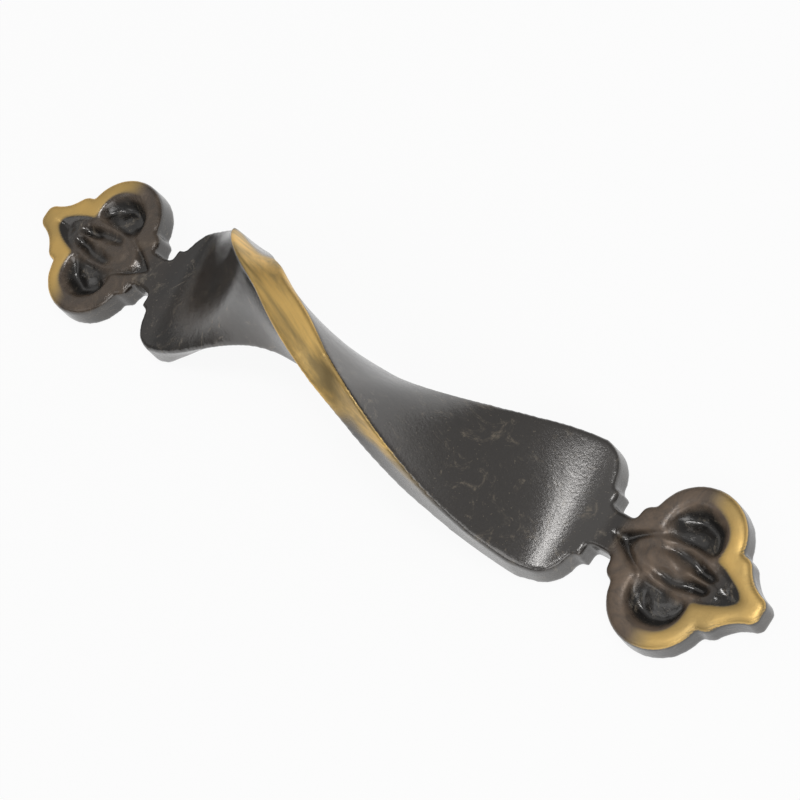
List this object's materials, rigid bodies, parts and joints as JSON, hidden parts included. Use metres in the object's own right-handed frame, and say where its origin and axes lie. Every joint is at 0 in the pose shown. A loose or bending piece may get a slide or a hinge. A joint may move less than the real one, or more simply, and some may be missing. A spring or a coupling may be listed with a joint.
{
  "type": "arch pull",
  "caption": "Cast drawer pull with a twisted arched strap, rounded feet and carved leaf finials, fixed from behind by screws.",
  "frame": {"origin": "centre of the back plane, midway between the two screw holes", "axes": "+X along the pull towards the end that is near in the picture, +Y across it, +Z away from the drawer front"},
  "size_m": [0.1508, 0.0264, 0.0331],
  "materials": {
    "antique_brass": "dark antique brass, rubbed back to gold on the crest and the finial rims"
  },
  "bodies": {
    "root": {"pull": "antique_brass"}
  },
  "joints": []
}
